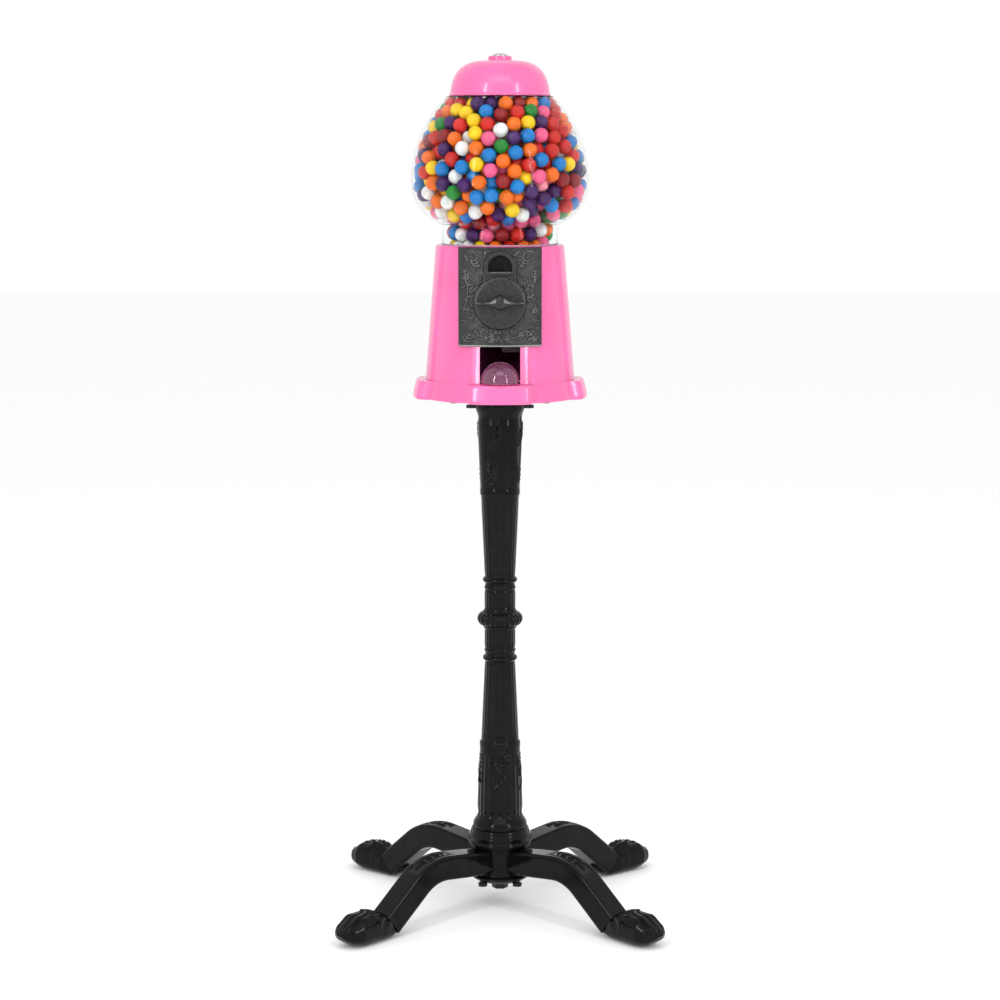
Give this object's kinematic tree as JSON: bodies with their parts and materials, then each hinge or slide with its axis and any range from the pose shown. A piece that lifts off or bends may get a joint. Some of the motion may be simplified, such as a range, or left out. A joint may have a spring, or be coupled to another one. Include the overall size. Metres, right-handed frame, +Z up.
{
  "type": "gumball machine",
  "caption": "Coin-operated gumball machine with a glass globe on a tapered cast body, standing on a fluted column with curved legs and claw feet.",
  "frame": {"origin": "on the floor, under the column's axis", "axes": "+Z up along the column, the front with the coin plate faces -Y, +X is to the right seen from the front"},
  "size_m": [0.3504, 0.3504, 0.9397],
  "materials": {
    "pink_paint": "glossy bubble-gum pink enamel",
    "black_paint": "gloss black enamel on cast metal",
    "pewter": "antiqued dark pewter",
    "zinc_steel": "zinc plated",
    "bright_nut": "satin nickel",
    "glass": "clear blown glass",
    "clear_plastic": "clear moulded plastic",
    "white_plastic": "white moulded plastic",
    "brass": "plain cast brass",
    "gumballs": "glossy sugar shell in many colours",
    "maroon_plastic": "dark maroon moulded plastic",
    "gasket_rubber": "translucent grey gasket"
  },
  "bodies": {
    "machine": {"globe": "glass", "globe_gasket": "gasket_rubber", "gumballs": "gumballs", "center_rod": "zinc_steel", "rod_nut": "zinc_steel", "body": "pink_paint", "bottom_plate": "black_paint", "bottom_screws": "zinc_steel", "hopper": "white_plastic", "drop_cover": "zinc_steel", "cover_screw": "zinc_steel", "coin_plate": "pewter", "plate_screws": "zinc_steel", "mech_frame": "zinc_steel", "mech_screws": "zinc_steel", "pawl_pin": "zinc_steel", "pawl_spring": "zinc_steel", "ball_chute": "maroon_plastic", "chute_screws": "zinc_steel", "door_pins": "zinc_steel", "saddle": "black_paint", "saddle_screws": "zinc_steel", "saddle_nuts": "zinc_steel", "upper_column": "black_paint", "column_ring": "black_paint", "lower_column": "black_paint", "stand_rod": "zinc_steel", "stand_nut": "zinc_steel", "stand_washer": "zinc_steel", "hub": "black_paint", "leg_front_left": "black_paint", "leg_front_right": "black_paint", "leg_back_left": "black_paint", "leg_back_right": "black_paint", "leg_screws": "zinc_steel"},
    "handle_set": {"handle": "pewter", "shaft": "zinc_steel", "coin_wheel": "zinc_steel", "ratchet_wheel": "brass", "drive_gear": "brass"},
    "dispensing_wheel": {"gumball_wheel": "white_plastic"},
    "pawl_arm": {"pawl": "brass"},
    "door_flap": {"chute_door": "clear_plastic"},
    "lid_cap": {"lid": "pink_paint"},
    "cap_nut": {"lid_nut": "bright_nut"}
  },
  "joints": [
    {"name": "handle_turn", "type": "hinge", "parent": "machine", "child": "handle_set", "pos_m": [0, -0.09, 0.677], "axis": [0, 1, 0], "continuous": true},
    {"name": "wheel_turn", "type": "hinge", "parent": "machine", "child": "dispensing_wheel", "pos_m": [0, 0, 0.7], "axis": [0, 0, 1], "continuous": true},
    {"name": "pawl_lift", "type": "hinge", "parent": "machine", "child": "pawl_arm", "pos_m": [0.019, -0.0592, 0.687], "axis": [0, -1, 0], "range_deg": [0, 10], "stiffness_Nm_per_rad": 0.01, "springref_deg": -11.46, "deforming": ["pawl_spring"]},
    {"name": "door_swing", "type": "hinge", "parent": "machine", "child": "door_flap", "pos_m": [0, -0.074, 0.5938], "axis": [-1, 0, 0], "range_deg": [0, 70]},
    {"name": "lid_lift", "type": "slide", "parent": "machine", "child": "lid_cap", "axis": [0, 0, 1], "range_m": [0, 0.08]},
    {"name": "nut_turn", "type": "hinge", "parent": "lid_cap", "child": "cap_nut", "pos_m": [0, 0, 0.93], "axis": [0, 0, 1], "continuous": true}
  ],
  "couplings": [
    {"joint": "wheel_turn", "follows": "handle_turn", "ratio": 0.2}
  ]
}
